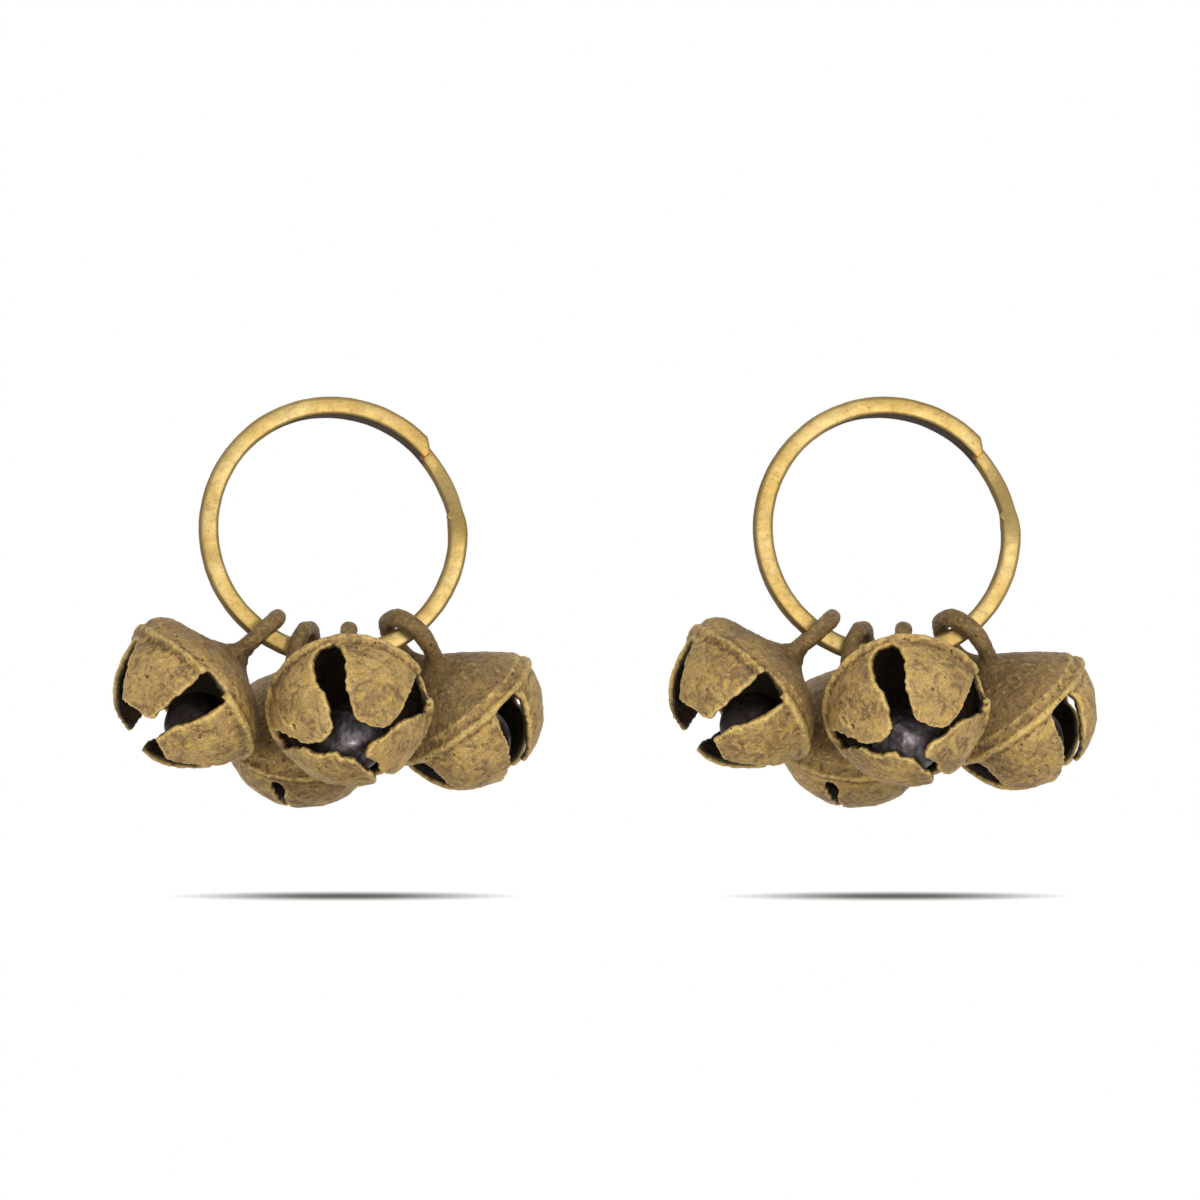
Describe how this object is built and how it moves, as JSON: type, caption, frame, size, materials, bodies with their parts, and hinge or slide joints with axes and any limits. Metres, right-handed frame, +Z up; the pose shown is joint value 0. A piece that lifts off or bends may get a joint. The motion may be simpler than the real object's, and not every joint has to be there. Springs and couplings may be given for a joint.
{
  "type": "finger bells",
  "caption": "Pair of brass finger rings, each threaded with cast petal-jaw jingle bells that hold loose iron pellets and ring as the hand moves.",
  "frame": {"origin": "middle of the first ring's finger hole", "axes": "+X from the first ring to the second, +Y away from the front, +Z up; the tops of the rings lean 10 degrees away from the front and the rings are turned 9 degrees towards +X"},
  "size_m": [0.0825, 0.0249, 0.0346],
  "materials": {
    "ring_brass": "satin yellow brass, drawn strip with worn edges",
    "cast_brass": "matte sand-cast brass, pitted and lumpy",
    "pellet_iron": "dark rough iron"
  },
  "bodies": {
    "ring_a": {"ring_a": "ring_brass"},
    "bell_a_back": {"bell_a_back": "cast_brass"},
    "bell_a_front": {"bell_a_front": "cast_brass"},
    "bell_a_left": {"bell_a_left": "cast_brass"},
    "bell_a_right": {"bell_a_right": "cast_brass"},
    "pellet_a_back": {"pellet_a_back": "pellet_iron"},
    "pellet_a_front": {"pellet_a_front": "pellet_iron"},
    "pellet_a_left": {"pellet_a_left": "pellet_iron"},
    "pellet_a_right": {"pellet_a_right": "pellet_iron"},
    "ring_b": {"ring_b": "ring_brass"},
    "bell_b_back": {"bell_b_back": "cast_brass"},
    "bell_b_front": {"bell_b_front": "cast_brass"},
    "bell_b_left": {"bell_b_left": "cast_brass"},
    "bell_b_right": {"bell_b_right": "cast_brass"},
    "pellet_b_back": {"pellet_b_back": "pellet_iron"},
    "pellet_b_front": {"pellet_b_front": "pellet_iron"},
    "pellet_b_left": {"pellet_b_left": "pellet_iron"},
    "pellet_b_right": {"pellet_b_right": "pellet_iron"}
  },
  "joints": [
    {"name": "bell_a_back_swing", "type": "hinge", "parent": "ring_a", "child": "bell_a_back", "pos_m": [-0.0026, -0.0022, -0.01001], "axis": [0.9569, 0.1031, -0.2715], "range_deg": [0, 60]},
    {"name": "bell_a_front_swing", "type": "hinge", "parent": "ring_a", "child": "bell_a_front", "pos_m": [0.0013, -0.00164, -0.01036], "axis": [-0.9803, -0.1724, -0.0961], "range_deg": [0, 65]},
    {"name": "bell_a_left_travel", "type": "hinge", "parent": "ring_a", "child": "bell_a_left", "pos_m": [0, 0, 0], "axis": [-0.1541, 0.9727, -0.1737], "range_deg": [0, 80]},
    {"name": "bell_a_right_travel", "type": "hinge", "parent": "ring_a", "child": "bell_a_right", "pos_m": [0, 0, 0], "axis": [0.1541, -0.9727, 0.1737], "range_deg": [0, 40]},
    {"name": "pellet_a_back_roll", "type": "hinge", "parent": "bell_a_back", "child": "pellet_a_back", "pos_m": [-0.00254, 0.0028, -0.01682], "axis": [0.9999, -0.0133, 0], "range_deg": [-40, 105]},
    {"name": "pellet_a_front_roll", "type": "hinge", "parent": "bell_a_front", "child": "pellet_a_front", "pos_m": [0.00148, -0.00903, -0.01446], "axis": [-0.9997, -0.0237, 0], "range_deg": [-15, 125]},
    {"name": "pellet_a_left_roll", "type": "hinge", "parent": "bell_a_left", "child": "pellet_a_left", "pos_m": [-0.0118, -0.00544, -0.01369], "axis": [-0.4548, 0.8906, 0], "range_deg": [-10, 135]},
    {"name": "pellet_a_right_roll", "type": "hinge", "parent": "bell_a_right", "child": "pellet_a_right", "pos_m": [0.01102, 0.00114, -0.01525], "axis": [0.3275, -0.9448, 0], "range_deg": [-60, 85]},
    {"name": "pair_apart", "type": "slide", "parent": "ring_a", "child": "ring_b", "axis": [1, 0, 0], "range_m": [0, 0.06]},
    {"name": "bell_b_back_swing", "type": "hinge", "parent": "ring_b", "child": "bell_b_back", "pos_m": [0.0439, -0.0022, -0.01001], "axis": [0.9569, 0.1031, -0.2715], "range_deg": [0, 60]},
    {"name": "bell_b_front_swing", "type": "hinge", "parent": "ring_b", "child": "bell_b_front", "pos_m": [0.04781, -0.00164, -0.01036], "axis": [-0.9803, -0.1724, -0.0961], "range_deg": [0, 65]},
    {"name": "bell_b_left_travel", "type": "hinge", "parent": "ring_b", "child": "bell_b_left", "pos_m": [0.0465, 0, 0], "axis": [-0.1541, 0.9727, -0.1737], "range_deg": [0, 80]},
    {"name": "bell_b_right_travel", "type": "hinge", "parent": "ring_b", "child": "bell_b_right", "pos_m": [0.0465, 0, 0], "axis": [0.1541, -0.9727, 0.1737], "range_deg": [0, 40]},
    {"name": "pellet_b_back_roll", "type": "hinge", "parent": "bell_b_back", "child": "pellet_b_back", "pos_m": [0.04396, 0.0028, -0.01682], "axis": [0.9999, -0.0133, 0], "range_deg": [-40, 105]},
    {"name": "pellet_b_front_roll", "type": "hinge", "parent": "bell_b_front", "child": "pellet_b_front", "pos_m": [0.04798, -0.00903, -0.01446], "axis": [-0.9997, -0.0237, 0], "range_deg": [-15, 125]},
    {"name": "pellet_b_left_roll", "type": "hinge", "parent": "bell_b_left", "child": "pellet_b_left", "pos_m": [0.03469, -0.00544, -0.01369], "axis": [-0.4548, 0.8906, 0], "range_deg": [-10, 135]},
    {"name": "pellet_b_right_roll", "type": "hinge", "parent": "bell_b_right", "child": "pellet_b_right", "pos_m": [0.05752, 0.00114, -0.01525], "axis": [0.3275, -0.9448, 0], "range_deg": [-60, 85]}
  ]
}
